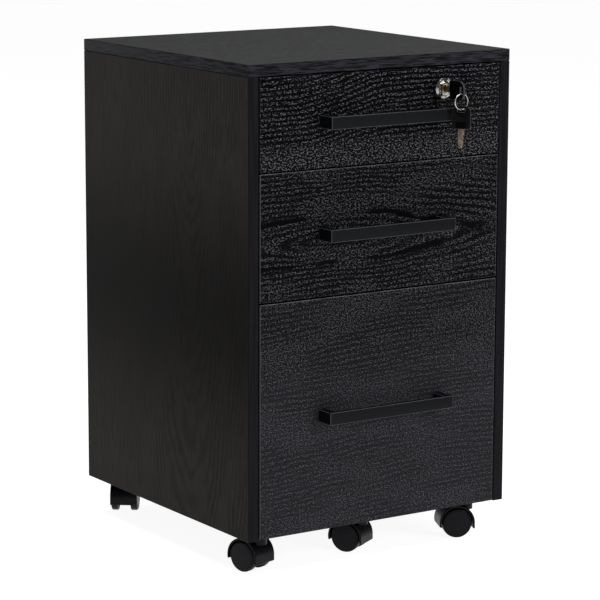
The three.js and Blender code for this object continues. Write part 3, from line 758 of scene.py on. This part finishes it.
def keys():
    """The key in the plug, the spare key, and the split ring through both."""
    lock_axis = Vector(JOINTS["lock_turn"]["pos_m"])
    outer_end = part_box("key")[0].y
    upright = Matrix.Rotation(math.radians(-90), 4, "Y")
    key("key", Matrix.Translation((lock_axis.x, outer_end, lock_axis.z)) @ upright)

    spare_turned = math.radians(-37)
    ring_axis = Vector(JOINTS["spare_key_swing"]["pos_m"])
    spare_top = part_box("spare_key")[1].z
    turn = Matrix.Rotation(spare_turned, 4, "Z") @ Matrix.Rotation(math.radians(-90), 4, "X")
    key("spare_key", Matrix.Translation((ring_axis.x, ring_axis.y, spare_top)) @ turn)

    ring = mesh_from(wire(ring_coil(), 0.38), "key_ring", 60)
    place = Matrix.Translation(ring_axis)
    piece("key_ring_look", ring, "key_ring", RING_STEEL, ["key_ring"], place)


def ring_coil():
    """Points along a split ring: two flat turns side by side, joined by a short slope half way."""
    turns, steps, radius, lay = 2, 96, 10, 0.8
    slope_start, slope_share = 0.42, 0.16
    points = []
    for i in range(turns * steps + 1):
        angle = 2 * math.pi * i / steps
        share = min(max((i / (turns * steps) - slope_start) / slope_share, 0), 1)
        side = lay * (share * share * (3 - 2 * share) - 0.5)
        points.append((radius * math.cos(angle), side, radius * math.sin(angle)))
    return points


# ---------------------------------------------------------------- casters


# From the hollow hub on the inner face, round the tread, to the domed outer face: [radius, along the axle].
WHEEL_PROFILE = [
    (0, 7), (2.6, 7), (2.6, 0), (8.5, 0), (8.9, 1.2), (17.0, 1.2), (17.4, 0), (19.2, 0), (19.8, 0.5),
    (20.0, 1.6), (20.0, 6.6), (19.7, 7.9), (18.9, 8.9), (17.9, 9.3), (17.3, 9.3), (17.1, 9.05),
    (16.7, 9.05), (16.5, 9.4), (11, 9.75), (5, 9.95), (0, 10),
]
WHEEL_INNER_FACE = 8.8


def caster(name):
    """Hood, web, neck, stem, axle, two wheels and the socket's flange.

    Local frame: the axle is Y, and the stem stands at x = -trail.
    """
    swivel = Vector(JOINTS[f"{name}_caster_swivel"]["pos_m"])
    axle = Vector(JOINTS[f"{name}_wheel_1_spin"]["pos_m"])
    direction = Vector((axle.x - swivel.x, axle.y - swivel.y, 0))
    trail = direction.length / MM
    place = Matrix.Translation(axle) @ Matrix.Rotation(math.atan2(direction.y, direction.x), 4, "Z")
    body = f"{name}_caster"
    top = (swivel.z - axle.z) / MM

    outer, inner, half_width, web_half_width = 24.0, 21.4, 18.5, 8.0
    front_tip, back_tip = -13.3, -8
    arch = arc(0, 0, outer, front_tip, 180, 56) + [(-outer, back_tip), (-inner, back_tip)]
    arch += arc(0, 0, inner, 180, front_tip, 56)
    hood = piece(
        f"{name}_caster_hood", mesh_from(bar_along_y(arch, half_width), "hood"), body,
        HOOD_NYLON, [f"{name}_caster_frame"], place,
    )
    round_edges(hood, 0.9 * MM, 4, degrees=50)
    outline = arc(0, 0, (outer + inner) / 2, 0, 180, 40) + [(-5, -5), (5, -5)]
    web = mesh_from(bar_along_y(outline, web_half_width), "web")
    fork = piece(f"{name}_caster_web", web, body, HOOD_NYLON, (), place)
    round_edges(fork, 0.5 * MM, 2, degrees=50)

    upright = Matrix.Translation((-trail * MM, 0, 0)) @ Matrix.Rotation(math.radians(90), 4, "X")
    neck = moved(
        lathe([(0, 16.2), (10.0, 16.2), (10.0, top - 0.9), (9.4, top - 0.3), (0, top - 0.3)], 48), upright
    )
    piece(f"{name}_caster_neck", mesh_from(neck, "neck", 40), body, HOOD_NYLON, (), place)
    stem = moved(
        lathe([
            (0, top - 1), (4, top - 1), (4, top + 7.4), (3.3, top + 7.8), (3.3, top + 9.2), (4, top + 9.6),
            (4, top + 10.7), (3, top + 11.7), (0, top + 11.7),
        ], 32),
        upright,
    )
    axle_end = 15.3
    rod = lathe([(0, -axle_end), (2.2, -axle_end), (2.2, axle_end), (0, axle_end)], 24)
    steel = merged(stem, rod)
    piece(f"{name}_caster_stem", mesh_from(steel, "stem", 40), body, SLIDE_STEEL, (), place)

    for number, sign in ((1, 1), (2, -1)):
        turn = Matrix.Identity(4) if sign > 0 else Matrix.Rotation(math.pi, 4, "Z")
        offset = Matrix.Translation((0, sign * WHEEL_INNER_FACE * MM, 0))
        node = f"{name}_wheel_{number}"
        wheel = mesh_from(lathe(WHEEL_PROFILE, 72), node, 38)
        piece(f"{node}_look", wheel, node, WHEEL_NYLON, [node], place @ offset @ turn)

    socket_body = "file_drawer" if name == "drawer" else "cabinet"
    flange = moved(
        lathe([(10.6, -1.4), (13.6, -1.4), (14.2, -0.9), (14.2, 0), (10.6, 0)], 48),
        Matrix.Translation(swivel) @ Matrix.Rotation(math.radians(-90), 4, "X"),
    )
    piece(f"{name}_caster_socket", mesh_from(flange, "flange", 40), socket_body, HOOD_NYLON)


# ---------------------------------------------------------------- studio


def studio():
    floor_mesh = bpy.data.meshes.new("floor")
    bm = bmesh.new()
    bmesh.ops.create_grid(bm, x_segments=1, y_segments=1, size=40)
    bm.to_mesh(floor_mesh)
    bm.free()
    floor = bpy.data.objects.new("floor", floor_mesh)
    bpy.context.scene.collection.objects.link(floor)
    white = Surface("floor_white", Specular_IOR_Level=0.0, Emission_Strength=0.92)
    white.colour(rgb(0.35, 0.35, 0.35))
    white.feed(white.shader.inputs["Emission Color"], rgb(1, 1, 1))
    white.roughness(1.0)
    floor_mesh.materials.append(white.material)

    world = bpy.data.worlds.new("studio")
    bpy.context.scene.world = world
    world.use_nodes = True
    world.node_tree.nodes["Background"].inputs["Color"].default_value = (1, 1, 1, 1)
    world.node_tree.nodes["Background"].inputs["Strength"].default_value = 0.15

    softbox("overhead", (0.0, -0.3, 3.0), (0, 0, 0.3), 2.6, 75)
    softbox("left", (-3.4, -0.6, 1.7), (0, 0, 0.4), 2.0, 6)
    softbox("front", (1.3, -3.5, 1.8), (0, 0, 0.4), 0.9, 42)
    softbox("right", (3.2, -0.6, 2.2), (0, 0, 0.4), 1.4, 18)


def softbox(name, place, target, size, power):
    lamp = bpy.data.lights.new(name, "AREA")
    lamp.shape = "SQUARE"
    lamp.size = size
    lamp.energy = power
    holder = bpy.data.objects.new(name, lamp)
    holder.location = place
    toward = Vector(target) - Vector(place)
    holder.rotation_euler = toward.to_track_quat("-Z", "Y").to_euler()
    bpy.context.scene.collection.objects.link(holder)


def camera():
    """A long lens, up and to the left of the cabinet's front."""
    aim = Vector((-0.170, FACE_Y - 0.070, 0.368))
    distance = 3.352
    turned_left, raised, roll = -33.47, 10.60, 0.18
    data = bpy.data.cameras.new("camera")
    data.lens = 165.3
    data.sensor_width = 36
    holder = bpy.data.objects.new("camera", data)
    turn = Matrix.Rotation(math.radians(turned_left), 4, "Z") @ Matrix.Rotation(
        math.radians(90 - raised), 4, "X"
    )
    turn = turn @ Matrix.Rotation(math.radians(roll), 4, "Z")
    holder.matrix_world = Matrix.Translation(aim) @ turn @ Matrix.Translation((0, 0, distance))
    bpy.context.scene.collection.objects.link(holder)
    bpy.context.scene.camera = holder
    bpy.context.scene.view_settings.view_transform = "Standard"


# ---------------------------------------------------------------- the whole

camera()
carcass()
for drawer_name in DRAWERS:
    drawer_boards(drawer_name)
    slides(drawer_name)
    drawer_hardware(drawer_name)
for rail_side in SIDES:
    softened(f"file_rail_{rail_side}", SLIDE_STEEL, 0.3 * MM, segments=2)
softened("drawer_caster_block", BOX_BOARD, 0.5 * MM)
lock()
keys()
for caster_name in CASTERS:
    caster(caster_name)
studio()
